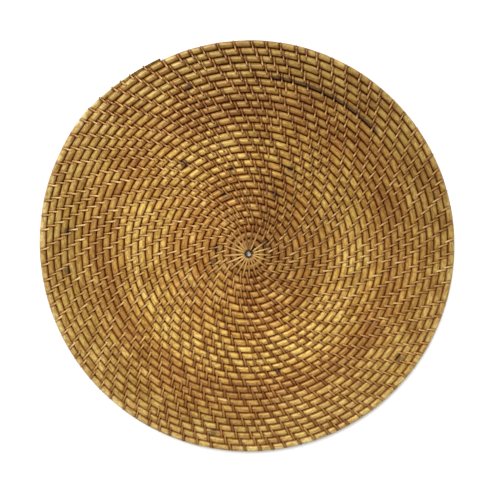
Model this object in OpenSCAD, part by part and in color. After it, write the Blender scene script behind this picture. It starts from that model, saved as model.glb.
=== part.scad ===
// Coiled rattan charger plate, all sizes in millimetres.
// One round core rod is wound in a flat spiral, clockwise from the middle as seen from above.
// Thin split cane wraps every turn and is driven through the middle of the turn inside it.
// The core closes tight on the cane there, so each stitch's inner leg fills its own awl hole.
// The origin is the centre of the flat underside, with the top face looking up along Z.

/* [Coil] */
// Thickness of the round core rod
core_d = 4.9; // [4.4:0.1:6]
// Gap between one turn of the core rod and the next, where the cane goes down
turn_gap = 0.7; // [0.6:0.05:1.3]
// Turns in the whole coil, with the part of a turn at the rim
coil_turns = 28.83; // [28.6:0.01:28.95]
// Bend radius of the first half turn around the centre hole
first_bend_r = 4.85; // [4.8:0.05:6]
// Direction in which the coil ends at the rim, counted from the right side
end_azimuth = 115; // [0:1:359]
// Length over which the end of the core rod is pared thin at the rim
rim_paring = 66; // [50:1:90]
// Thickness left at the pared end at the rim
rim_end_d = 1; // [0.8:0.1:2]
// Thickness left at the flat pared end in the centre hole
centre_end_d = 1.6; // [1.2:0.1:3]

/* [Core lengths] */
// Shares of the half turns at which one length of core rod ends and the next begins
joint_shares = [0.26, 0.34, 0.51, 0.65, 0.73, 0.87];
// Length of the slanting joint between two lengths of core rod
scarf_length = 22; // [14:1:28]

/* [Lashing] */
// Width of the split cane
cane_w = 1.2; // [0.8:0.1:1.3]
// Thickness of the split cane
cane_t = 0.35; // [0.25:0.05:0.35]
// Slack between the split cane and the core rod it wraps
cane_slack = 0.05; // [0.02:0.01:0.1]
// Slant of each stitch away from the straight line to the centre
stitch_lean = 15; // [12:1:22]
// Sideways step from a stitch to the stitch that carries on inside it
stitch_step = 2.6; // [2.1:0.1:2.8]
// Stitches gained with every turn outwards
stitches_per_turn = 2.7; // [1.6:0.1:2.8]
// Turns over which a new line of stitches spreads to the full spacing
settling_turns = 12; // [8:1:16]
// Share of the full spacing that the other lines have made room for when a new line starts
birth_share = 0.33; // [0:0.01:0.5]
// Direction that turns the whole pattern of stitches around the centre
swirl_start = 71; // [0:1:359]

/* [Centre] */
// Spokes around the centre hole, which are also the first lines of stitches
spokes = 20; // [16:1:21]
// Width of a spoke where it dips into the centre hole
spoke_tip_w = 0.5; // [0.4:0.05:0.6]
// Extra sideways step from the first stitches to the spokes
spoke_shift = 0.4; // [0:0.1:1.4]

/* [Hidden] */
$fn = 24;
golden_share = 0.6180339887;
quarter_share = 0.25;
bit_share = 0.75;
half_turn_angle = 180;
turn_angle = 360;
quarter_angle = 90;
// Turns of core held by the long spokes, so the lashed turns named below begin with the next
spoke_turns = 3;
core_r = core_d / 2;
turn_pitch = core_d + turn_gap;
half_pitch = turn_pitch / 2;
centre_off = turn_pitch * quarter_share;
cane_inner = core_r + cane_slack;
cane_outer = cane_inner + cane_t;
core_z = cane_outer;
overrun = turn_pitch;
rim_paring_slope = (core_d - rim_end_d) / rim_paring;
coil_end = coil_turns * turn_angle;
half_turns = ceil(coil_turns * 2);
turns = ceil(coil_turns);
start_turns = first_bend_r / turn_pitch - quarter_share;
coil_rotation = end_azimuth - half_turn_angle + coil_end;
rim_bend_r = first_bend_r + (half_turns - 1) * half_pitch;
paring_angle = turn_angle * rim_paring / (2 * PI * rim_bend_r);
paring_shift = (core_d - rim_end_d) / (1 - cos(paring_angle));
paring_r = rim_bend_r - core_r + rim_end_d + paring_shift;
swirl = (tan(stitch_lean) + stitch_step / turn_pitch) * half_turn_angle / PI;
seen_turns = turns - spoke_turns + 1 + settling_turns * birth_share;
line_count = floor(spokes + stitches_per_turn * seen_turns);
line_places = [for (i = [0:line_count - 1]) i * golden_share - floor(i * golden_share)];
line_births = [for (i = [0:line_count - 1]) spoke_turns + 1 + (i - spokes) / stitches_per_turn];
joints = concat([0], [for (s = joint_shares) round(s * half_turns)], [half_turns]);
lean_reach = core_r / cos(stitch_lean) - core_r;
bridge = turn_pitch / cos(stitch_lean);
end_margin_angle = turn_angle * cane_w * 2 / (2 * PI * (rim_bend_r + half_pitch));

function even(k) = k - 2 * floor(k / 2) < 1;
function bend_r(k) = first_bend_r + k * half_pitch;
function bend_x(k) = even(k) ? centre_off : -centre_off;
function half_at(a) = floor(a / half_turn_angle);
function grown(i, n) =
  i < spokes ? 1 : min(1, max(0, birth_share + (n - line_births[i]) / settling_turns));
function total(v, i = 0) = i < len(v) ? v[i] + total(v, i + 1) : 0;
function line_place(i, n) =
  (total([for (k = [0:line_count - 1]) if (line_places[k] < line_places[i]) grown(k, n)])
  + grown(i, n) / 2) / total([for (k = [0:line_count - 1]) grown(k, n)]);
function wound(i, m) = let (n = m + line_place(i, m + line_places[i]))
  turn_angle * n - swirl * ln(start_turns + n) - swirl_start;
function stitches_in(t) = [for (i = [0:line_count - 1]) for (m = [t:t + 1])
  if (i < spokes || line_births[i] < m + line_places[i]) let (a = wound(i, m))
  if (floor(a / turn_angle) == t && a < coil_end - end_margin_angle)
  a];

function within_turn(a) = a - turn_angle * floor(a / turn_angle);
function outer_winding(dir) =
  coil_end - within_turn(coil_end - half_turn_angle + dir - coil_rotation);
function edge(dir) = let (k = half_at(outer_winding(dir)))
  bend_r(k) + bend_x(k) * cos(dir - coil_rotation);
function centring(dir) = (edge(dir + half_turn_angle) - edge(dir)) / 2;
function paring_edge(a) = let (b = coil_end - a)
  sqrt(paring_r * paring_r - pow(paring_shift * sin(b), 2)) - paring_shift * cos(b) - rim_bend_r;

module in_place() {
  translate([centring(0), centring(quarter_angle), 0])
    rotate([0, 0, coil_rotation])
      children();
}

module at_winding(a, k) {
  translate([bend_x(k), 0, core_z])
    rotate([0, 0, half_turn_angle - a])
      children();
}

module half_turn(k) {
  at_winding((k + 1) * half_turn_angle, k)
    rotate_extrude(angle = half_turn_angle)
      translate([bend_r(k), 0])
        circle(d = core_d);
}

module joint_bit(k, side) {
  bit = scarf_length * bit_share;
  intersection() {
    half_turn(side > 0 ? k : k - 1);
    at_winding(k * half_turn_angle, k)
      translate([bend_r(k) - overrun, side > 0 ? -bit : -overrun, -core_z])
        cube([overrun * 2, bit + overrun, core_z * 2]);
  }
}

module scarf_block(k, side) {
  slant = atan2(core_d, scarf_length);
  at_winding(k * half_turn_angle, k)
    translate([bend_r(k), 0])
      rotate([slant, 0, 0])
        translate([-overrun, -scarf_length, side > 0 ? 0 : -overrun * 2])
          cube([overrun * 2, scarf_length * 2, overrun * 2]);
}

module core_length(j) {
  first = joints[j];
  last = joints[j + 1] - 1;
  color("burlywood")
    in_place()
      union()
        for (k = [first:last])
          difference() {
            union() {
              if (k < half_turns - 1)
                half_turn(k);
              else
                rim_end();
              if (k == first && j > 0)
                joint_bit(first, -1);
              if (k == last && last < half_turns - 1)
                joint_bit(last + 1, 1);
            }
            if (k == first && j > 0)
              scarf_block(first, -1);
            if (k == last && last < half_turns - 1)
              scarf_block(last + 1, 1);
            if (k == 0)
              centre_paring();
          }
}

module rim_end() {
  k = half_turns - 1;
  intersection() {
    difference() {
      half_turn(k);
      at_winding(coil_end, k)
        translate([0, -rim_bend_r * 2, -core_z])
          cube([rim_bend_r * 2, rim_bend_r * 2, core_z * 2]);
    }
    at_winding(coil_end, k)
      translate([-paring_shift, 0, -core_z])
        cylinder(r = paring_r, h = core_z * 2);
  }
}

module centre_paring() {
  slant = atan2(core_d - centre_end_d, first_bend_r);
  at_winding(0, 0)
    translate([0, 0, centre_end_d - core_r])
      rotate([-slant, 0, 0])
        translate([0, -first_bend_r * 2, 0])
          cube([first_bend_r * 2, first_bend_r * 4, core_d * 2]);
}

module loop_outline(inner, reach, tip) {
  difference() {
    circle(r = inner);
    translate([-inner * 2, -inner])
      square([inner * 2, inner * 2]);
  }
  translate([-reach, -inner])
    square([reach, inner * 2]);
  if (tip)
    translate([-reach, 0])
      difference() {
        circle(r = inner);
        translate([0, -inner])
          square([inner * 2, inner * 2]);
      }
}

module loop_band(reach, w, tip) {
  rotate([90, 0, 0])
    linear_extrude(height = w, center = true)
      difference() {
        loop_outline(cane_outer, reach + (tip ? 0 : cane_t / 2), tip);
        loop_outline(cane_inner, reach - (tip ? 0 : cane_t / 2), tip);
      }
}

module flat_loop_band(upto) {
  rotate([90, 0, 0])
    linear_extrude(height = cane_w, center = true)
      difference() {
        translate([-bridge - cane_t / 2, -cane_outer])
          square([bridge + cane_t * 3 / 2 + cane_slack + upto, cane_outer * 2]);
        translate([-bridge + cane_t / 2, -cane_inner])
          square([bridge - cane_t / 2 + cane_slack + upto, cane_inner * 2]);
      }
}

module stitch(a) {
  k = half_at(a);
  near_end = coil_end - a < paring_angle;
  at_winding(a, k)
    translate([bend_r(k), 0])
      rotate([0, 0, stitch_lean])
        if (near_end)
          flat_loop_band((paring_edge(a) + cane_w * rim_paring_slope) / cos(stitch_lean));
        else
          translate([lean_reach, 0])
            loop_band(bridge + lean_reach, cane_w, false);
}

module spoke(a) {
  k = half_at(a);
  reach = turn_pitch * (spoke_turns - 1);
  shift = turn_angle * spoke_shift / (2 * PI * bend_r(k));
  at_winding(a + shift, k)
    translate([bend_r(k), 0])
      intersection() {
        loop_band(reach, cane_w, true);
        translate([0, 0, -core_z * 2])
          linear_extrude(height = core_z * 4)
            polygon([[-reach - cane_outer, -spoke_tip_w / 2], [core_d, -cane_w / 2],
              [core_d, cane_w / 2], [-reach - cane_outer, spoke_tip_w / 2]]);
      }
}

module lashing_turn(t) {
  color("wheat")
    in_place()
      for (a = stitches_in(t - 1))
        stitch(a);
}

module spoke_lashing() {
  color("wheat")
    in_place()
      for (i = [0:spokes - 1])
        for (m = [spoke_turns - 1:spoke_turns])
          let (a = wound(i, m))
            if (floor(a / turn_angle) == spoke_turns - 1)
              spoke(a);
}

module core_length_1() {
  core_length(0);
}

module core_length_2() {
  core_length(1);
}

module core_length_3() {
  core_length(2);
}

module core_length_4() {
  core_length(3);
}

module core_length_5() {
  core_length(4);
}

module core_length_6() {
  core_length(5);
}

module core_length_7() {
  core_length(6);
}

module lashing_turn_4() {
  lashing_turn(4);
}

module lashing_turn_5() {
  lashing_turn(5);
}

module lashing_turn_6() {
  lashing_turn(6);
}

module lashing_turn_7() {
  lashing_turn(7);
}

module lashing_turn_8() {
  lashing_turn(8);
}

module lashing_turn_9() {
  lashing_turn(9);
}

module lashing_turn_10() {
  lashing_turn(10);
}

module lashing_turn_11() {
  lashing_turn(11);
}

module lashing_turn_12() {
  lashing_turn(12);
}

module lashing_turn_13() {
  lashing_turn(13);
}

module lashing_turn_14() {
  lashing_turn(14);
}

module lashing_turn_15() {
  lashing_turn(15);
}

module lashing_turn_16() {
  lashing_turn(16);
}

module lashing_turn_17() {
  lashing_turn(17);
}

module lashing_turn_18() {
  lashing_turn(18);
}

module lashing_turn_19() {
  lashing_turn(19);
}

module lashing_turn_20() {
  lashing_turn(20);
}

module lashing_turn_21() {
  lashing_turn(21);
}

module lashing_turn_22() {
  lashing_turn(22);
}

module lashing_turn_23() {
  lashing_turn(23);
}

module lashing_turn_24() {
  lashing_turn(24);
}

module lashing_turn_25() {
  lashing_turn(25);
}

module lashing_turn_26() {
  lashing_turn(26);
}

module lashing_turn_27() {
  lashing_turn(27);
}

module lashing_turn_28() {
  lashing_turn(28);
}

module lashing_turn_29() {
  lashing_turn(29);
}

core_length_1();
core_length_2();
core_length_3();
core_length_4();
core_length_5();
core_length_6();
core_length_7();
spoke_lashing();
lashing_turn_4();
lashing_turn_5();
lashing_turn_6();
lashing_turn_7();
lashing_turn_8();
lashing_turn_9();
lashing_turn_10();
lashing_turn_11();
lashing_turn_12();
lashing_turn_13();
lashing_turn_14();
lashing_turn_15();
lashing_turn_16();
lashing_turn_17();
lashing_turn_18();
lashing_turn_19();
lashing_turn_20();
lashing_turn_21();
lashing_turn_22();
lashing_turn_23();
lashing_turn_24();
lashing_turn_25();
lashing_turn_26();
lashing_turn_27();
lashing_turn_28();
lashing_turn_29();
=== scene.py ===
"""Coiled rattan charger plate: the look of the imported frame, under plain studio light.

Each length of core rod and each stitch of cane in the frame is remade as a sweep. The coil is
the same chain of half turns as in the frame, and the stitches are read from the frame's bands.
"""

import math

import bpy
import numpy as np
from mathutils import Matrix, Vector


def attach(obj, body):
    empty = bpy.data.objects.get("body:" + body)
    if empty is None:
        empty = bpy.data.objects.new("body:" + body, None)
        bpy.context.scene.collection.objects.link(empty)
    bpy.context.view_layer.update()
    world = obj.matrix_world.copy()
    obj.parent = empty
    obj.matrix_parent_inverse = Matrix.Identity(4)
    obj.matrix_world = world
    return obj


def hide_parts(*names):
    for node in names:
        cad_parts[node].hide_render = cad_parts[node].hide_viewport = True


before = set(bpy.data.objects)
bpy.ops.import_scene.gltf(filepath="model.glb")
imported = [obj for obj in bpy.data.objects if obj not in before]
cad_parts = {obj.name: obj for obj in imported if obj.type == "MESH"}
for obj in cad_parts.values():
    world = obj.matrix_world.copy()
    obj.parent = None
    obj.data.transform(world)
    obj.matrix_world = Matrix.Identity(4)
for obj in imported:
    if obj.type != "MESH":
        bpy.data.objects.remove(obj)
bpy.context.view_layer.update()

# Lengths are in millimetres up to the materials, and in metres from there on.
MM = 0.001

# The coil, as in the frame. Angles are in degrees.
TURN_PITCH = 5.6
CORE_D = 4.9
COIL_TURNS = 28.83
FIRST_BEND_R = 4.85
END_AZIMUTH = 115.0
RIM_PARING = 66.0
RIM_END_D = 1.0
CENTRE_END_D = 1.6
SCARF_LENGTH = 22.0
JOINT_SHARES = (0.26, 0.34, 0.51, 0.65, 0.73, 0.87)
STITCH_LEAN = 15.0
SPOKE_TURNS = 3
CANE_W = 1.2
CANE_T = 0.35
CANE_SLACK = 0.05

# Worked out from these. PARING_ANGLE and LEAN are in radians.
CORE_R = CORE_D / 2
CENTRE_OFF = TURN_PITCH / 4
HALF_TURNS = math.ceil(COIL_TURNS * 2)
COIL_END = COIL_TURNS * 360
ROTATION = END_AZIMUTH - 180 + COIL_END
RIM_BEND_R = FIRST_BEND_R + (HALF_TURNS - 1) * TURN_PITCH / 2
PARING_ANGLE = math.radians(360 * RIM_PARING / (2 * math.pi * RIM_BEND_R))
PARING_SHIFT = (CORE_D - RIM_END_D) / (1 - math.cos(PARING_ANGLE))
PARING_R = RIM_BEND_R - CORE_R + RIM_END_D + PARING_SHIFT
SCARF_SLOPE = CORE_D / SCARF_LENGTH
CENTRE_SLOPE = (CORE_D - CENTRE_END_D) / FIRST_BEND_R
LEAN = math.radians(STITCH_LEAN)
BRIDGE = TURN_PITCH / math.cos(LEAN)
CANE_OUTER = CORE_R + CANE_SLACK + CANE_T
CORE_Z = CANE_OUTER
JOINTS = [0, *(math.floor(s * HALF_TURNS + 0.5) for s in JOINT_SHARES), HALF_TURNS]
LAST_ROD = len(JOINTS) - 2

# A band that is read this near the start of its turn may lie just past the turn's end, and a
# band that lies this far off the coil has been read on the wrong turn.
SEAM_ANGLE = 90.0
OFF_COIL = 2.0

# How closely the meshes follow the curves.
ROD_STEP = 0.68
ROD_SIDES = 16
ARC_POINTS = 9
BRIDGE_POINTS = 7
SCARF_COVER_SHARE = 0.96

# A step along a strip counts as no shorter than this, so that it can be divided by.
LEAST_STEP = 1e-6

# A rod's width and height change by these shares: under a stitch, and well away from it. The
# pinch is full within PINCH_HALF of the stitch's middle and eases out over PINCH_EASE.
ACROSS_SHARES = (0.04, 0.135)
UP_SHARES = (-0.08, 0.06)
PINCH_HALF = 0.5
PINCH_EASE = 1.5
ROD_SWELL_SHARE = 0.02
ROD_WANDER = 0.08

# The pared tail of the coil lies in by this much, onto the turn inside it.
TAIL_HUG = 0.55

# Slow changes along a rod, as (spacing, seed): its thickness, and its wander across and up.
SWELL_NOISE = (14.0, 5)
ACROSS_NOISE = (9.0, 6)
UP_NOISE = (11.0, 7)

# The holes for the next turn's stitches dent a rod a little, from just inside its middle outwards.
HOLE_DENT_SHARE = 0.05
HOLE_DENT_FROM = -0.8
HOLE_DENT_EASE = 1.2

# Dirt and painted shade lie beside each stitch and around each hole. They fade at the left and
# right of the plate, where the light leaves less shade.
SOIL_AND_SHADE_HALF = 0.85
SOIL_AND_SHADE_EASE = 1.8
SOIL_AND_SHADE_FADE = 0.4
HOLE_SOIL_AND_SHADE_AT = -0.2
HOLE_SOIL_AND_SHADE_ALONG = 0.8
HOLE_SOIL_AND_SHADE_ACROSS = 0.9

# Painted shade on the outer side of a rod is halved over this last stretch of the coil, where no
# turn lies outside to shade it.
RIM_UNSHADED_SHARE = 0.5
RIM_UNSHADED_ANGLE = 390.0
RIM_UNSHADED_EASE = 30.0

# The grain of each length of core is shifted from that of the one before. The tone changes at
# each stitch, and the innermost stretch has one of its own.
GRAIN_SHIFT = 20.0
TONE_SEED = 31
FIRST_TONE = 0.4

# A stitch slips sideways at both ends, sags between two turns and varies in width. Its inner
# leg has points at these shares of its height, and bows a little between its ends.
STITCH_WANDER = 0.3
STITCH_SAG = (0.2, 0.55)
STITCH_LIFT = 0.06
STITCH_W_SHARES = (1.0, 1.35)
LEG_SHARES = np.array([-0.97, -0.55, 0, 0.55, 0.97])
LEG_BOW = 0.1
GRAIN_SPREAD = 900.0
STITCH_SEED = 29

# How far inwards each point of a stitch lies, in spans of the stitch, is kept in this range.
INWARD_RANGE = (-1.0, 1.3)

# A split cane's section: across it as a share of its width, and through it as a share of its
# thickness. The outside is domed and the inside is flat.
SECTION = np.array(
    [
        (-0.5, -0.42),
        (-0.49, -0.05),
        (-0.38, 0.35),
        (-0.2, 0.6),
        (0.0, 0.7),
        (0.2, 0.6),
        (0.38, 0.35),
        (0.49, -0.05),
        (0.5, -0.42),
        (0.0, -0.5),
    ]
)

# The spokes all dip into one round hole, a little off the middle of the coil. Those of one wedge
# are wider and darker.
HOLE_OFF = np.array([-0.33, -0.55])
HOLE_R = 2.1
SPOKE_W = 1.6
SPOKE_INNER_W = 1.3
SPOKE_TIP_W = 0.7
SPOKE_SAG_SHARE = 0.4
SPOKE_TONES = (0.5, 0.8)
WEDGE_AZIMUTH = 95.0
WEDGE_HALF = 16.0
WEDGE_INNER_W = 2.1
WEDGE_TONES = (0.1, 0.2)

# One side of the plate is darker.
DARK_SIDE_AZIMUTH = 50.0
DARK_SIDE_FROM_R = 40.0
DARK_SIDE_SPREAD = 1.3
DARK_SIDE_SHIFT = 0.1
# Patches that are darker still, or lighter with a negative amount: azimuth, distance from the
# middle, half size, how much.
DARKNESS_PATCHES = (
    (345.0, 30.0, 30.0, 0.75),
    (105.0, 45.0, 20.0, -0.5),
    (175.0, 125.0, 40.0, 0.4),
    (200.0, 112.0, 30.0, 0.2),
    (262.0, 106.0, 34.0, 0.35),
    (318.0, 108.0, 36.0, 0.4),
    (0.0, 76.0, 18.0, -0.4),
    (98.0, 76.0, 16.0, -0.3),
    (355.0, 142.0, 22.0, -0.3),
    (271.0, 105.0, 8.0, 0.5),
    (286.0, 76.0, 7.0, 0.6),
    (285.0, 124.0, 8.0, 0.5),
    (140.0, 147.0, 8.0, 0.5),
    (209.0, 53.0, 6.0, 0.5),
    (348.0, 84.0, 7.0, 0.5),
    (84.0, 77.0, 9.0, -0.4),
    (51.0, 103.0, 9.0, -0.4),
    (64.0, 80.0, 8.0, -0.4),
)
# Dark damp spots: azimuth, distance from the middle, half size.
DAMP_SPOTS = (
    (30.0, 15.0, 3.0),
    (172.0, 27.0, 3.2),
    (193.0, 29.0, 2.6),
    (66.0, 50.0, 3.0),
    (113.0, 49.0, 3.0),
    (102.0, 67.0, 2.6),
    (64.0, 73.0, 3.4),
    (126.0, 86.0, 4.0),
    (283.5, 98.5, 3.2),
    (110.0, 135.5, 3.4),
    (173.0, 144.5, 3.6),
    (185.5, 145.0, 3.4),
    (325.0, 148.0, 3.2),
    (258.7, 151.0, 3.6),
)
# One long dark arc: first and last azimuth, distance from the middle, half width.
DAMP_ARC = (41.0, 85.0, 136.1, 1.7)
DAMP_ARC_EASE = 4.0

rng = np.random.default_rng(STITCH_SEED)


def half_of(winding):
    """The half turn, counted from 0, that a winding angle lies in."""
    return np.clip(np.floor(winding / 180), 0, HALF_TURNS - 1)


def bend_r(half):
    """The bend radius of a half turn."""
    return FIRST_BEND_R + half * TURN_PITCH / 2


def bend_x(half):
    """How far the bend centre of a half turn lies off the middle, along the line of centres."""
    return np.where(half % 2 == 0, CENTRE_OFF, -CENTRE_OFF)


def edge(azimuth):
    """How far the coil reaches in that direction, as the frame centres itself by it."""
    winding = COIL_END - (COIL_END - 180 + azimuth - ROTATION) % 360
    half = half_of(winding)
    return bend_r(half) + bend_x(half) * math.cos(math.radians(azimuth - ROTATION))


SPIRAL_AT = np.array([edge(180) - edge(0), edge(270) - edge(90)]) / 2


def bend_centre(half):
    turned = math.radians(ROTATION)
    off = bend_x(half)
    return SPIRAL_AT + np.stack([off * math.cos(turned), off * math.sin(turned)], -1)


def outward(winding):
    """The way out from the bend centre at a winding angle."""
    azimuth = np.radians(180 - winding + ROTATION)
    return np.stack([np.cos(azimuth), np.sin(azimuth)], -1)


def on_coil(winding):
    """The points of the coil's centre line in plan, and the ways out from its bend centres."""
    half = half_of(winding)
    out = outward(winding)
    return bend_centre(half) + bend_r(half)[..., None] * out, out


def winding_at(points, turn):
    """The winding angle at which the coil passes points that lie in that turn, counted from 0."""
    rough = None
    for _ in range(3):
        centre = SPIRAL_AT if rough is None else bend_centre(half_of(rough))
        away = points - centre
        azimuth = np.degrees(np.arctan2(away[..., 1], away[..., 0]))
        rough = (180 - azimuth + ROTATION) % 360 + 360 * turn
    return rough


def run_length(winding):
    """Length of core from the centre to a winding angle."""
    half = half_of(winding)
    before = math.pi * (half * FIRST_BEND_R + half * (half - 1) / 2 * TURN_PITCH / 2)
    return before + np.radians(winding - 180 * half) * bend_r(half)


def smooth_noise(places, spacing, seed):
    """Values from -1 to 1 that change smoothly over that spacing."""
    count = 4096
    table = np.random.default_rng(seed).uniform(-1, 1, count)
    at = places / spacing
    cell = np.floor(at).astype(int)
    part = at - cell
    part = part * part * (3 - 2 * part)
    return table[cell % count] * (1 - part) + table[(cell + 1) % count] * part


# Stitches, read from the frame


def separate_bands(node):
    """The plan points of each separate solid of a CAD node, in millimetres."""
    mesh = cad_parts[node].data
    points = np.empty(len(mesh.vertices) * 3, np.float32)
    mesh.vertices.foreach_get("co", points)
    points = points.reshape(-1, 3) / MM
    ends = np.empty(len(mesh.edges) * 2, np.int32)
    mesh.edges.foreach_get("vertices", ends)
    _, same = np.unique(np.round(points, 3), axis=0, return_inverse=True)
    same = same.ravel()
    ends = same[ends].reshape(-1, 2)
    label = np.arange(same.max() + 1)
    while True:
        low = np.minimum(label[ends[:, 0]], label[ends[:, 1]])
        before = label.copy()
        np.minimum.at(label, ends[:, 0], low)
        np.minimum.at(label, ends[:, 1], low)
        label = label[label]
        if (label == before).all():
            break
    band = label[same]
    return [points[band == b, :2] for b in np.unique(band)]


def read_bands(node, turn, tip):
    """The winding of each band on its own turn, and the inner and outer end of its bridge."""
    found = []
    for plan in separate_bands(node):
        middle = (plan.min(0) + plan.max(0)) / 2
        spread = plan - plan.mean(0)
        axis = np.linalg.eigh(spread.T @ spread)[1][:, 1]
        if axis @ (middle - SPIRAL_AT) < 0:
            axis = -axis
        side = np.array([-axis[1], axis[0]])
        across = (plan @ side).min() / 2 + (plan @ side).max() / 2
        reach = plan @ axis
        if tip:
            inner, outer = reach.min(), reach.max() - CANE_OUTER
        else:
            inner = reach.min() + CANE_T / 2
            outer = inner + BRIDGE
        found.append((inner * axis + across * side, outer * axis + across * side))
    inner, outer = (np.array(p) for p in zip(*found))
    own = on_own_turn(winding_at(outer, turn), outer, turn)
    order = np.argsort(own)
    return own[order], inner[order], outer[order]


def on_own_turn(own, outer, turn):
    """The windings, with those next to the seam between two turns moved onto the right turn."""
    early = own - 360 * turn < SEAM_ANGLE
    own = own + 360 * (early & off_coil(own, outer))
    return own - 360 * off_coil(own, outer)


def off_coil(winding, points):
    """Whether each point lies away from the coil's centre line at its winding."""
    return np.linalg.norm(points - on_coil(winding)[0], axis=1) > OFF_COIL


LASHED = [int(n.rsplit("_", 1)[1]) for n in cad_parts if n.startswith("lashing_turn_")]
bands = {t: read_bands(f"lashing_turn_{t}", t - 1, False) for t in sorted(LASHED)}
spokes = read_bands("spoke_lashing", SPOKE_TURNS - 1, True)
own_windings = np.sort(np.concatenate([spokes[0], *(b[0] for b in bands.values())]))
hole_windings = np.sort(np.concatenate([winding_at(b[1], t - 2) for t, b in bands.items()]))
own_runs = run_length(own_windings)
hole_runs = run_length(hole_windings)


# Meshes


def mesh_piece(name, node, points, quads, caps, attributes, material):
    """A closed mesh of quads and end caps that stands for a CAD node."""
    mesh = bpy.data.meshes.new(name)
    mesh.vertices.add(len(points))
    mesh.vertices.foreach_set("co", (points * MM).astype(np.float32).ravel())
    sizes = np.array([len(cap) for cap in caps] + [4] * len(quads), np.int32)
    starts = np.concatenate([[0], np.cumsum(sizes)[:-1]]).astype(np.int32)
    loops = np.concatenate([*caps, quads.ravel()]).astype(np.int32)
    mesh.loops.add(len(loops))
    mesh.loops.foreach_set("vertex_index", loops)
    mesh.polygons.add(len(sizes))
    mesh.polygons.foreach_set("loop_start", starts)
    mesh.polygons.foreach_set("use_smooth", np.ones(len(sizes), bool))
    mesh.update(calc_edges=True)
    for key, values in attributes.items():
        vector = values.ndim == 2
        layer = mesh.attributes.new(key, "FLOAT_VECTOR" if vector else "FLOAT", "POINT")
        layer.data.foreach_set("vector" if vector else "value", values.astype(np.float32).ravel())
    mesh.materials.append(material)
    piece = bpy.data.objects.new(name, mesh)
    bpy.context.scene.collection.objects.link(piece)
    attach(piece, "root")
    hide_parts(node)


def tube_faces(rings, sides, closed):
    """Quads between neighbouring rings of one sweep, and its two end faces if it is open."""
    i = np.arange(rings if closed else rings - 1)[:, None]
    j = np.arange(sides)[None, :]
    after = (i + 1) % rings
    beside = (j + 1) % sides
    corners = [i * sides + j, i * sides + beside, after * sides + beside, after * sides + j]
    ends = [np.arange(sides)[::-1], np.arange((rings - 1) * sides, rings * sides)]
    return np.stack(corners, -1).reshape(-1, 4), [] if closed else ends


def eased(share):
    """0 below 0, 1 above 1, with a smooth rise between."""
    share = np.clip(share, 0, 1)
    return share * share * (3 - 2 * share)


def from_middle(points):
    """Distance from the middle of the coil, in metres, of each point."""
    return np.linalg.norm(points[:, :2] - SPIRAL_AT, axis=1) * MM


def way(azimuth):
    """The plan direction at an azimuth."""
    turned = math.radians(azimuth)
    return np.array([math.cos(turned), math.sin(turned)])


def near(points, azimuth, reach, half):
    """How near each point is to a spot, from 1 at the spot to 0 well away from it."""
    spot = SPIRAL_AT + reach * way(azimuth)
    away = np.linalg.norm(points[:, :2] - spot, axis=1)
    return np.exp(-((away / half) ** 2))


def side_darkness(points):
    """How much darker the plate is at each point, 0 to 1."""
    away = points[:, :2] - SPIRAL_AT
    from_r = np.maximum(np.linalg.norm(away, axis=1), DARK_SIDE_FROM_R)
    found = eased(DARK_SIDE_SPREAD * (away @ way(DARK_SIDE_AZIMUTH)) / from_r - DARK_SIDE_SHIFT)
    for *spot, amount in DARKNESS_PATCHES:
        found += amount * near(points, *spot)
    return np.clip(found, 0, 1)


def damp(points):
    """How far each point lies in a damp spot or in the dark arc, 0 to 1."""
    first, last, reach, half = DAMP_ARC
    away = points[:, :2] - SPIRAL_AT
    azimuth = np.degrees(np.arctan2(away[:, 1], away[:, 0]))
    along = eased((azimuth - first) / DAMP_ARC_EASE) * eased((last - azimuth) / DAMP_ARC_EASE)
    across = np.exp(-(((np.linalg.norm(away, axis=1) - reach) / half) ** 2))
    spots = [near(points, *spot) for spot in DAMP_SPOTS]
    return np.max([along * across, *spots], axis=0)


def toward_sides(points):
    """1 at the left and right of the plate, and 0 at its top and bottom."""
    away = points[..., :2] - SPIRAL_AT
    return away[..., 0] ** 2 / (away**2).sum(-1)


def nearest_gap(places, marks):
    """Signed distance from each place to the nearest of the sorted marks."""
    after = np.clip(np.searchsorted(marks, places), 1, len(marks) - 1)
    before, later = places - marks[after - 1], places - marks[after]
    return np.where(np.abs(before) < np.abs(later), before, later)


def paring_edge(winding):
    """How far out from the centre line the pared end at the rim reaches."""
    back = np.radians(np.clip(COIL_END - winding, 0, None))
    edge_r = np.sqrt(np.clip(PARING_R**2 - (PARING_SHIFT * np.sin(back)) ** 2, 0, None))
    free = back > PARING_ANGLE
    return np.where(free, CORE_R * 2, edge_r - PARING_SHIFT * np.cos(back) - RIM_BEND_R)


def rod_windings(j):
    """Evenly spaced windings along a length of core, with its share of both scarf joints."""
    low, high = 180 * JOINTS[j], min(180 * JOINTS[j + 1], COIL_END)
    cover = SCARF_LENGTH / 2 * SCARF_COVER_SHARE
    if j > 0:
        low -= math.degrees(cover / bend_r(JOINTS[j]))
    if j < LAST_ROD:
        high += math.degrees(cover / bend_r(JOINTS[j + 1]))
    start, end = run_length(np.array([low, high], float))
    count = int((end - start) / ROD_STEP) + 1
    dense = np.linspace(low, high, count * 4)
    return np.interp(np.linspace(start, end, count), run_length(dense), dense)


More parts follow.
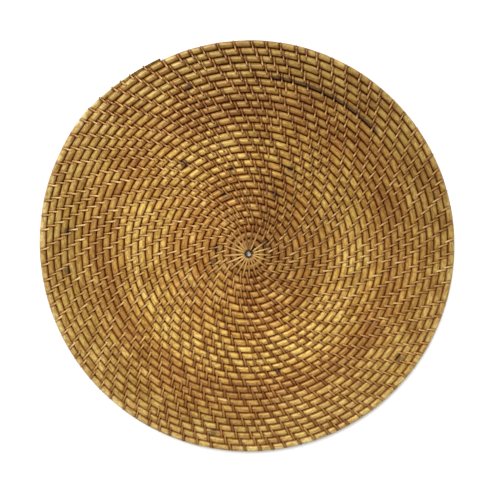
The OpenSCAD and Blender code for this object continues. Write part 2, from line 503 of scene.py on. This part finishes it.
def rod_rings(winding, run, around, from_own, from_hole):
    """How far across and up from the centre line each point around a rod lies."""
    radial = CORE_R * np.cos(around)
    pinch = 1 - eased((np.abs(from_own) - PINCH_HALF) / PINCH_EASE)
    dent = 1 - eased((np.abs(from_hole) - PINCH_HALF / 2) / PINCH_EASE)
    dent = dent * np.clip((radial - HOLE_DENT_FROM) / HOLE_DENT_EASE, 0, 1)
    swell = 1 + ROD_SWELL_SHARE * smooth_noise(run, *SWELL_NOISE) - HOLE_DENT_SHARE * dent
    x = radial * (swell + pinch * ACROSS_SHARES[0] + (1 - pinch) * ACROSS_SHARES[1])
    z = CORE_R * np.sin(around) * (swell + pinch * UP_SHARES[0] + (1 - pinch) * UP_SHARES[1])
    x += ROD_WANDER * smooth_noise(run, *ACROSS_NOISE)
    z += ROD_WANDER * smooth_noise(run, *UP_NOISE)
    x = np.minimum(x, paring_edge(winding)) - TAIL_HUG * (1 - left_by_paring(winding))
    return x, z


def cut_ends(j, run, z):
    """The heights around a rod, cut along its scarf joints and at the tip in the middle."""
    if j > 0:
        z = np.maximum(z, SCARF_SLOPE * (run_to_joint(j) - run))
    else:
        z = np.minimum(z, CENTRE_END_D - CORE_R + CENTRE_SLOPE * run)
    if j < LAST_ROD:
        z = np.minimum(z, SCARF_SLOPE * (run_to_joint(j + 1) - run))
    return z


def run_to_joint(j):
    """Length of core from the centre to the joint where a rod begins."""
    return run_length(np.array(180.0 * JOINTS[j]))


def left_by_paring(winding):
    """The share of the rod's thickness that the paring at the rim has left."""
    return np.clip(paring_edge(winding) / CORE_R, -1, 1) / 2 + 0.5


def rod_soil_and_shade(centre, radial, from_own, from_hole):
    """How much dirt and painted shade lies on each point of a rod, 0 to 1."""
    beside = 1 - eased((np.abs(from_own) - SOIL_AND_SHADE_HALF) / SOIL_AND_SHADE_EASE)
    along = from_hole / HOLE_SOIL_AND_SHADE_ALONG
    across = (radial - HOLE_SOIL_AND_SHADE_AT) / HOLE_SOIL_AND_SHADE_ACROSS
    found = np.maximum(beside, np.exp(-(along**2) - across**2))
    return found * (1 - SOIL_AND_SHADE_FADE * toward_sides(centre))[:, None]


def rod_shade_side(winding, x):
    """How far to one side of its rod each point lies, -1 to 1, which sets its painted shade. It is
    nearer 0 on the rim's outer side, which nothing shades.
    """
    middle = (x.max(1) + x.min(1))[:, None] / 2
    off_axis = 2 * (x - middle) / np.ptp(x, 1)[:, None]
    unshaded = RIM_UNSHADED_SHARE * eased((winding - COIL_END + RIM_UNSHADED_ANGLE) / RIM_UNSHADED_EASE)
    return off_axis * left_by_paring(winding) ** 2 * np.where(off_axis > 0, 1 - unshaded, 1)


def core_piece(j, material):
    """One length of core rod."""
    windings = rod_windings(j)
    centre, out = on_coil(windings)
    winding = windings[:, None]
    run = run_length(winding)
    around = np.linspace(0, 2 * math.pi, ROD_SIDES, endpoint=False)[None, :]
    radial = CORE_R * np.cos(around)
    slanted_run = run + radial * math.tan(LEAN)
    from_own = nearest_gap(slanted_run, own_runs) * math.cos(LEAN)
    from_hole = nearest_gap(slanted_run, hole_runs) * math.cos(LEAN)
    x, z = rod_rings(winding, run, around, from_own, from_hole)
    z = cut_ends(j, run, z)

    plan = centre[:, None] + x[..., None] * out[:, None]
    points = np.concatenate([plan, (z + CORE_Z)[..., None]], -1).reshape(-1, 3)
    unrolled = np.stack([np.broadcast_to(run, x.shape), x + GRAIN_SHIFT * j, z], -1)
    tones = np.random.default_rng(TONE_SEED).uniform(size=len(own_runs) + 1)
    tones[0] = FIRST_TONE
    attributes = {
        "unrolled": unrolled.reshape(-1, 3) * MM,
        "from_centre": from_middle(points),
        "side_darkness": side_darkness(points),
        "damp": damp(points),
        "soil_and_shade": rod_soil_and_shade(centre, radial, from_own, from_hole).ravel(),
        "sideways": rod_shade_side(winding, x).ravel(),
        "tone": tones[np.searchsorted(own_runs, slanted_run)].ravel(),
    }
    quads, caps = tube_faces(len(windings), ROD_SIDES, False)
    name = f"rod_{j + 1}"
    mesh_piece(name, f"core_length_{j + 1}", points, quads, caps, attributes, material)


def strip_path(span, limit, sag, lift, tip):
    """One closed round of cane in its upright plane: (along, up) from the axis of its own rod.

    A spoke, with tip, turns back in an arc at its inner end. A stitch goes down in a leg there.
    """
    mid_r = CORE_R + CANE_SLACK + CANE_T / 2 + lift
    share = np.linspace(0, 1, BRIDGE_POINTS + 2)[1:]
    dip = sag * np.sin(math.pi * share * (2 if tip else 1)) ** 2
    top = np.stack([-span * (1 - share), mid_r - dip], 1)
    turn = np.linspace(math.pi / 2, -math.pi / 2, ARC_POINTS)[1:-1]
    slant = 1 if tip else span / TURN_PITCH
    arc = np.stack([mid_r * slant * np.cos(turn), mid_r * np.sin(turn)], 1)
    bottom = top[::-1] * (1, -1)
    if tip:
        turn = np.linspace(-math.pi / 2, -3 * math.pi / 2, ARC_POINTS)
        leg = np.stack([mid_r * np.cos(turn) - span, mid_r * np.sin(turn)], 1)
    else:
        bow = np.where(np.abs(LEG_SHARES) < LEG_SHARES[-1], LEG_BOW, 0)
        leg = np.stack([-span - bow, mid_r * LEG_SHARES], 1)
    path = np.concatenate([top, arc, bottom, leg])
    path[:, 0] = np.minimum(path[:, 0], limit)
    return path


def spoke_width(path, span, wedge):
    """The width of a spoke at each point of its path, which narrows into the centre hole."""
    places = (-span - CANE_OUTER, -span, 0)
    inner_w = WEDGE_INNER_W if wedge else SPOKE_INNER_W
    return np.interp(-np.abs(path[:, 0]), places, (SPOKE_TIP_W, inner_w, SPOKE_W))


def sweep(path, widths):
    """A band swept along its path: how far along, up, across and through each point lies."""
    step = np.roll(path, -1, 0) - np.roll(path, 1, 0)
    step /= np.maximum(np.linalg.norm(step, axis=1), LEAST_STEP)[:, None]
    across = SECTION[None, :, 0] * widths[:, None]
    through = np.broadcast_to(SECTION[None, :, 1] * CANE_T, across.shape)
    along = path[:, :1] - step[:, 1:] * through
    up = path[:, 1:] + step[:, :1] * through
    return along, up, across, through


def stitch_sweep(own, inner, outer, tip):
    """The points of one band of cane, and its attributes."""
    axis = (outer - inner) / np.linalg.norm(outer - inner)
    side = np.array([-axis[1], axis[0]])
    outer = outer + side * rng.uniform(-1, 1) * STITCH_WANDER
    inner = inner + side * rng.uniform(-1, 1) * STITCH_WANDER
    if tip:
        hole = SPIRAL_AT + HOLE_OFF
        inner = hole + (outer - hole) / np.linalg.norm(outer - hole) * (HOLE_R + CANE_OUTER)
    span = np.linalg.norm(outer - inner)
    axis = (outer - inner) / span
    side = np.array([-axis[1], axis[0]])
    limit = (paring_edge(np.array(own)) + CANE_SLACK + CANE_T / 2) / math.cos(LEAN)
    sag = rng.uniform(*STITCH_SAG) * (SPOKE_SAG_SHARE if tip else 1)
    path = strip_path(span, limit, sag, rng.uniform(0, STITCH_LIFT), tip)
    widths = np.full(len(path), CANE_W * rng.uniform(*STITCH_W_SHARES))
    # Half random tone and half painted light: paler at the left and right of the plate, where the
    # stitches lie across the light.
    tone = (rng.uniform() + toward_sides(outer)) / 2
    if tip:
        azimuth = math.degrees(math.atan2(axis[1], axis[0]))
        wedge = abs(azimuth - WEDGE_AZIMUTH) < WEDGE_HALF
        tone = np.interp(tone, (0, 1), WEDGE_TONES if wedge else SPOKE_TONES)
        widths = spoke_width(path, span, wedge)

    along, up, across, through = sweep(path, widths)
    plan = outer + along[..., None] * axis + across[..., None] * side
    points = np.concatenate([plan, (up + CORE_Z)[..., None]], -1).reshape(-1, 3)
    steps = np.linalg.norm(np.diff(path, axis=0), axis=1)
    travel = np.concatenate([[0], np.cumsum(steps)])[:, None]
    unrolled = np.stack([np.broadcast_to(travel, across.shape), across, through], -1)
    inward = np.clip(-path[:, :1] / span, *INWARD_RANGE)
    return points, {
        "unrolled": (unrolled + rng.uniform(0, GRAIN_SPREAD, 3)).reshape(-1, 3) * MM,
        "tone": np.full(len(points), tone),
        "border": np.broadcast_to(np.abs(2 * SECTION[None, :, 0]), across.shape).ravel(),
        "inward": np.broadcast_to(inward, across.shape).ravel(),
    }


def cane_piece(name, node, stitches, material, tip=False):
    """All the stitches of one turn, or the spokes, as closed bands in one mesh."""
    sweeps = [stitch_sweep(*stitch, tip) for stitch in zip(*stitches)]
    points = np.concatenate([p for p, _ in sweeps])
    attributes = {key: np.concatenate([a[key] for _, a in sweeps]) for key in sweeps[0][1]}
    attributes["side_darkness"] = side_darkness(points)
    attributes["damp"] = damp(points)
    band_size = len(sweeps[0][0])
    band_quads, _ = tube_faces(band_size // len(SECTION), len(SECTION), True)
    quads = np.concatenate([band_quads + i * band_size for i in range(len(sweeps))])
    mesh_piece(name, node, points, quads, [], attributes, material)


# Materials


def put(tree, kind, inputs=None, **settings):
    """Adds a shader node; an input is a number, a colour or another node's output."""
    made = tree.nodes.new("ShaderNode" + kind)
    for key, value in settings.items():
        setattr(made, key, value)
    for key, value in (inputs or {}).items():
        if isinstance(value, bpy.types.NodeSocket):
            tree.links.new(value, made.inputs[key])
        else:
            made.inputs[key].default_value = value
    return made


def linear(value):
    """A screen value, 0 to 255, as the amount of light that it stands for."""
    share = value / 255
    return ((share + 0.055) / 1.055) ** 2.4 if value > 10 else share / 12.92


def colour(red, green, blue):
    """A colour as seen on a screen, 0 to 255, as the shader's own linear values."""
    return (linear(red), linear(green), linear(blue), 1.0)


def number(tree, name):
    """The mesh's attribute of that name, as a number."""
    return put(tree, "Attribute", attribute_name=name).outputs["Fac"]


def unrolled_place(tree):
    """The place along, across and through an unrolled rod or strip, in metres."""
    return put(tree, "Attribute", attribute_name="unrolled").outputs["Vector"]


def stretched_noise(tree, place, scale, detail=2.0, rough=0.55):
    """Noise over a rod, a strip or the plate: scale is features per metre on each axis."""
    moved = put(tree, "Mapping", {"Vector": place, "Scale": scale}).outputs[0]
    shape = {"Vector": moved, "Scale": 1.0, "Detail": detail, "Roughness": rough}
    return put(tree, "TexNoise", shape).outputs[0]


def ranged(tree, value, low, high, to_low=0.0, to_high=1.0):
    """The value, with the stretch from low to high mapped to that from to_low to to_high."""
    ends = {"From Min": low, "From Max": high, "To Min": to_low, "To Max": to_high}
    return put(tree, "MapRange", {"Value": value, **ends}).outputs[0]


def ramp(tree, value, stops):
    """The colour at a value, between stops of (value, colour)."""
    made = put(tree, "ValToRGB", {"Fac": value})
    marks = made.color_ramp.elements
    while len(marks) < len(stops):
        marks.new(0.5)
    for mark, (place, shade) in zip(marks, stops):
        mark.position = place
        mark.color = shade
    return made.outputs[0]


def mixed(tree, amount, first, second, blend="MIX"):
    """Two colours mixed. The Mix node has its colours at inputs 6 and 7 and output 2."""
    inputs = {0: amount, 6: first, 7: second}
    return put(tree, "Mix", inputs, data_type="RGBA", blend_type=blend).outputs[2]


def maths(tree, operation, first, second=0.0):
    """A sum of one or two numbers, of the kind named."""
    return put(tree, "Math", {0: first, 1: second}, operation=operation).outputs[0]


def tinted(tree, shade, mask, spread, amounts, tint):
    """The shade with a tint laid over it, by amounts that follow the mask over that spread."""
    return mixed(tree, ranged(tree, mask, *spread, *amounts), shade, tint)


def darkened(tree, shade, mask, spread, amounts, tint):
    """The same, with the tint multiplied into the colour, which darkens it. It lays stains and
    grain, and painted shade on the rods' outer sides.
    """
    multiplied_tint = mixed(tree, 1.0, shade, tint, "MULTIPLY")
    return mixed(tree, ranged(tree, mask, *spread, *amounts), shade, multiplied_tint)


def new_material(name):
    made = bpy.data.materials.new(name)
    made.use_nodes = True
    tree = made.node_tree
    tree.nodes.clear()
    return made, tree


def surface(tree, shade, rough, relief, bump, gloss):
    """The surface of a rod or a strip. Its bump is (strength, height) and gloss is more inputs."""
    inputs = {"Height": relief, "Strength": bump[0], "Distance": bump[1]}
    normal = put(tree, "Bump", inputs).outputs[0]
    inputs = {"Base Color": shade, "Roughness": rough, "Normal": normal, **gloss}
    shader = put(tree, "BsdfPrincipled", inputs)
    put(tree, "OutputMaterial", {"Surface": shader.outputs[0]})


CORE_BUMP = (0.35, 0.0002)
CANE_BUMP = (0.3, 0.00015)

# The core's colour, by its distance from the middle as a share of RING_REACH. The lengths of
# core differ, which shows as rings.
RING_REACH = 0.168
RING_COLOURS = [
    (0.00, colour(128, 92, 42)),
    (0.08, colour(160, 121, 60)),
    (0.11, colour(204, 163, 90)),
    (0.24, colour(224, 180, 98)),
    (0.36, colour(226, 184, 100)),
    (0.41, colour(255, 222, 128)),
    (0.53, colour(255, 230, 137)),
    (0.60, colour(240, 204, 112)),
    (0.66, colour(201, 157, 84)),
    (0.71, colour(199, 158, 84)),
    (0.77, colour(222, 187, 104)),
    (0.83, colour(203, 178, 99)),
    (0.94, colour(213, 190, 114)),
    # Painted light: the palest stop, at the rim, is a pale glare over the outermost turn.
    (0.98, colour(240, 227, 162)),
]

# The cane's colour, by its tone. The tone holds painted light: stitches at the left and right of
# the plate are paler.
CANE_COLOURS = [
    (0.0, colour(122, 80, 34)),
    (0.25, colour(162, 118, 60)),
    (0.5, colour(194, 151, 84)),
    (0.8, colour(230, 190, 118)),
    (1.0, colour(252, 222, 158)),
]


def broad_darkening(tree, shade):
    """The broad patches, the darker side and the damp spots, over rods and stitches alike."""
    on_plate = put(tree, "TexCoord").outputs["Object"]
    broad = stretched_noise(tree, on_plate, (60, 60, 60))
    shade = darkened(tree, shade, broad, (0.4, 0.62), (0, 0.6), colour(212, 186, 148))
    shade = darkened(tree, shade, number(tree, "side_darkness"), (0, 1), (0, 0.7), colour(196, 185, 162))
    return darkened(tree, shade, number(tree, "damp"), (0.1, 0.8), (0, 0.9), colour(126, 104, 84))


def core_material():
    """Rattan core: a matt, porous rod with a long grain. It has dirt and painted shade beside the
    stitches, and painted shade on its sides and in the gaps between turns.
    """
    made, tree = new_material("rattan_core")
    place = unrolled_place(tree)
    patch = stretched_noise(tree, place, (55, 90, 90))
    olive = stretched_noise(tree, place, (28, 60, 60))
    streak = stretched_noise(tree, place, (30, 1900, 1900), 4.0, 0.6)
    pore = stretched_noise(tree, place, (260, 3600, 3600))
    mottle = stretched_noise(tree, place, (240, 600, 600), 3.0, 0.6)
    tone = number(tree, "tone")
    sideways = number(tree, "sideways")

    out = ranged(tree, number(tree, "from_centre"), 0, RING_REACH)
    shade = ramp(tree, out, RING_COLOURS)
    shade = darkened(tree, shade, tone, (0, 0.35), (0.55, 0), colour(198, 171, 134))
    shade = tinted(tree, shade, tone, (0.75, 1), (0, 0.45), colour(250, 224, 146))
    shade = darkened(tree, shade, patch, (0.35, 0.7), (0, 0.4), colour(206, 181, 138))
    shade = tinted(tree, shade, olive, (0.5, 0.75), (0, 0.55), colour(184, 160, 50))
    shade = darkened(tree, shade, streak, (0.42, 0.68), (0, 0.4), colour(190, 149, 94))
    shade = tinted(tree, shade, pore, (0.62, 0.74), (0, 0.6), colour(104, 66, 30))
    shade = darkened(tree, shade, mottle, (0.44, 0.6), (0, 0.8), colour(188, 151, 84))
    # Painted shade: darker over the outer side of each rod, and dark on both sides where the rods
    # meet in the gaps.
    shade = darkened(tree, shade, sideways, (0.1, 1), (0, 0.6), colour(178, 128, 66))
    flank_shade = ranged(tree, maths(tree, "ABSOLUTE", sideways), 0.62, 0.98, 0, 0.95)
    shade = mixed(tree, flank_shade, shade, colour(126, 56, 0))
    # Dirt and painted shade beside the stitches and around the holes, in dark brown.
    patchy = ranged(tree, patch, 0.3, 0.6, 0.6, 0.95)
    soil_and_shade = maths(tree, "MULTIPLY", number(tree, "soil_and_shade"), patchy)
    shade = mixed(tree, soil_and_shade, shade, colour(105, 43, 0))
    shade = broad_darkening(tree, shade)

    # Less gloss where the dirt and the painted shade lie.
    dull_in_shade = maths(tree, "MAXIMUM", soil_and_shade, flank_shade)
    gloss = {
        "Specular IOR Level": ranged(tree, dull_in_shade, 0.2, 0.8, 0.75, 0.0),
        "Specular Tint": colour(255, 232, 184),
    }
    pits = maths(tree, "MULTIPLY", ranged(tree, pore, 0.6, 0.75), 0.6)
    relief = maths(tree, "SUBTRACT", streak, pits)
    rough = ranged(tree, streak, 0.3, 0.7, 0.34, 0.54)
    surface(tree, shade, rough, relief, CORE_BUMP, gloss)
    return made


def cane_material():
    """Split cane: a glossy strip with a long grain, darker at its borders, with painted shade on
    its outer part and where it dips into the centre hole.
    """
    made, tree = new_material("split_cane")
    place = unrolled_place(tree)
    streak = stretched_noise(tree, place, (70, 3200, 3200), 4.0, 0.6)
    patch = stretched_noise(tree, place, (160, 260, 260))
    border = number(tree, "border")
    inward = number(tree, "inward")

    shade = ramp(tree, number(tree, "tone"), CANE_COLOURS)
    shade = darkened(tree, shade, streak, (0.4, 0.7), (0, 0.5), colour(186, 146, 110))
    shade = darkened(tree, shade, patch, (0.5, 0.75), (0, 0.45), colour(176, 140, 110))
    shade = tinted(tree, shade, border, (0.7, 1), (0, 0.6), colour(114, 66, 18))
    # Painted shade over the outer part of each stitch, and dark painted shade where the spokes go
    # down into the centre hole.
    shade = tinted(tree, shade, inward, (0.25, 0.45), (0.45, 0), colour(138, 92, 38))
    shade = tinted(tree, shade, inward, (1.05, 1.15), (0, 0.95), colour(50, 40, 26))
    shade = broad_darkening(tree, shade)

    gloss = {"Specular IOR Level": 0.6, "Specular Tint": colour(255, 224, 184)}
    rough = ranged(tree, streak, 0.3, 0.7, 0.22, 0.42)
    surface(tree, shade, rough, streak, CANE_BUMP, gloss)
    return made


rattan = core_material()
cane = cane_material()
for j in range(LAST_ROD + 1):
    core_piece(j, rattan)
cane_piece("spokes", "spoke_lashing", spokes, cane, tip=True)
for turn, stitches in bands.items():
    cane_piece(f"stitches_{turn}", f"lashing_turn_{turn}", stitches, cane)


# Floor, light and camera

FLOOR_SIZE = 3.0
FLOOR_DROP = 0.0002
FLOOR_WHITE = 0.9
EYE_AT = (SPIRAL_AT + HOLE_OFF) * MM

# Where the camera looks at the floor, it glows a little, so that it looks as white as the
# backdrop: around the plate, further off and in the open eye. Each is (near distance, far
# distance, glow at the near one, glow at the far one), from the middle of the plate or the eye.
GLOW_AROUND = (0.155, 0.19, 0, 0.3)
GLOW_FAR = (0.3, 1.5, 0, 0.4)
GLOW_IN_EYE = (0.0004, 0.0018, 0.26, 0)

AMBIENT = 0.39
KEY_POWER = 42.0
KEY_AT = Vector((-0.48, 1.19, 1.53))
KEY_SIZE = 0.8
KEY_COLOUR = (1.0, 0.98, 0.95)
WHITE = (1.0, 1.0, 1.0, 1.0)

CAMERA_AT = Vector((0.00097, 0.02785, 0.303))
LOOKS_AT = Vector((0.00202, 0.00383, 0.004))
LENS_MM = 27.2
SENSOR_MM = 36
CLIP_START = 0.01


def seen_directly(tree):
    """1 where the camera looks at the surface, also by a mirror or through glass."""
    path = put(tree, "LightPath").outputs
    seen = maths(tree, "ADD", path["Is Camera Ray"], path["Is Glossy Ray"])
    seen = maths(tree, "ADD", seen, path["Is Transmission Ray"])
    return maths(tree, "MINIMUM", seen, 1.0)


def floor_material():
    """A matt white cloth, with the glow."""
    made, tree = new_material("floor_white")
    cloth = put(tree, "BsdfDiffuse", {"Color": (FLOOR_WHITE, FLOOR_WHITE, FLOOR_WHITE, 1.0)})
    spot = put(tree, "NewGeometry").outputs["Position"]
    off_middle = put(tree, "VectorMath", {0: spot}, operation="LENGTH").outputs["Value"]
    ends = {0: spot, 1: (*EYE_AT, 0)}
    off_eye = put(tree, "VectorMath", ends, operation="DISTANCE").outputs["Value"]
    around = ranged(tree, off_middle, *GLOW_AROUND)
    glow = maths(tree, "ADD", around, ranged(tree, off_middle, *GLOW_FAR))
    glow = maths(tree, "ADD", glow, ranged(tree, off_eye, *GLOW_IN_EYE))
    glow = maths(tree, "MULTIPLY", seen_directly(tree), glow)
    light = put(tree, "Emission", {"Color": WHITE, "Strength": glow})
    both = put(tree, "AddShader", {0: cloth.outputs[0], 1: light.outputs[0]})
    put(tree, "OutputMaterial", {"Surface": both.outputs[0]})
    return made


def floor_piece():
    mesh = bpy.data.meshes.new("floor")
    h = FLOOR_SIZE / 2
    mesh.from_pydata([(-h, -h, 0), (h, -h, 0), (h, h, 0), (-h, h, 0)], [], [(0, 1, 2, 3)])
    mesh.materials.append(floor_material())
    made_floor = bpy.data.objects.new("floor", mesh)
    bpy.context.scene.collection.objects.link(made_floor)
    made_floor.location.z = -FLOOR_DROP


def key_light():
    light = bpy.data.lights.new("key", "AREA")
    light.shape = "DISK"
    light.size = KEY_SIZE
    light.energy = KEY_POWER
    light.color = KEY_COLOUR
    made = bpy.data.objects.new("key", light)
    made.location = KEY_AT
    made.rotation_mode = "QUATERNION"
    made.rotation_quaternion = (-KEY_AT).to_track_quat("-Z", "Y")
    bpy.context.scene.collection.objects.link(made)


def backdrop():
    """A world that lights the plate softly and looks white."""
    world = bpy.data.worlds.new("studio")
    world.use_nodes = True
    tree = world.node_tree
    tree.nodes.clear()
    more = maths(tree, "MULTIPLY", seen_directly(tree), 1 - AMBIENT)
    strength = maths(tree, "ADD", more, AMBIENT)
    sky = put(tree, "Background", {"Color": WHITE, "Strength": strength})
    put(tree, "OutputWorld", {"Surface": sky.outputs[0]})
    bpy.context.scene.world = world


def camera():
    made = bpy.data.objects.new("camera", bpy.data.cameras.new("camera"))
    made.data.lens = LENS_MM
    made.data.sensor_width = SENSOR_MM
    made.data.clip_start = CLIP_START
    back = (CAMERA_AT - LOOKS_AT).normalized()
    right = Vector((0, 1, 0)).cross(back).normalized()
    made.matrix_world = Matrix((right, back.cross(right), back)).transposed().to_4x4()
    made.location = CAMERA_AT
    bpy.context.scene.collection.objects.link(made)
    bpy.context.scene.camera = made


floor_piece()
backdrop()
key_light()
camera()
bpy.context.scene.view_settings.view_transform = "Standard"
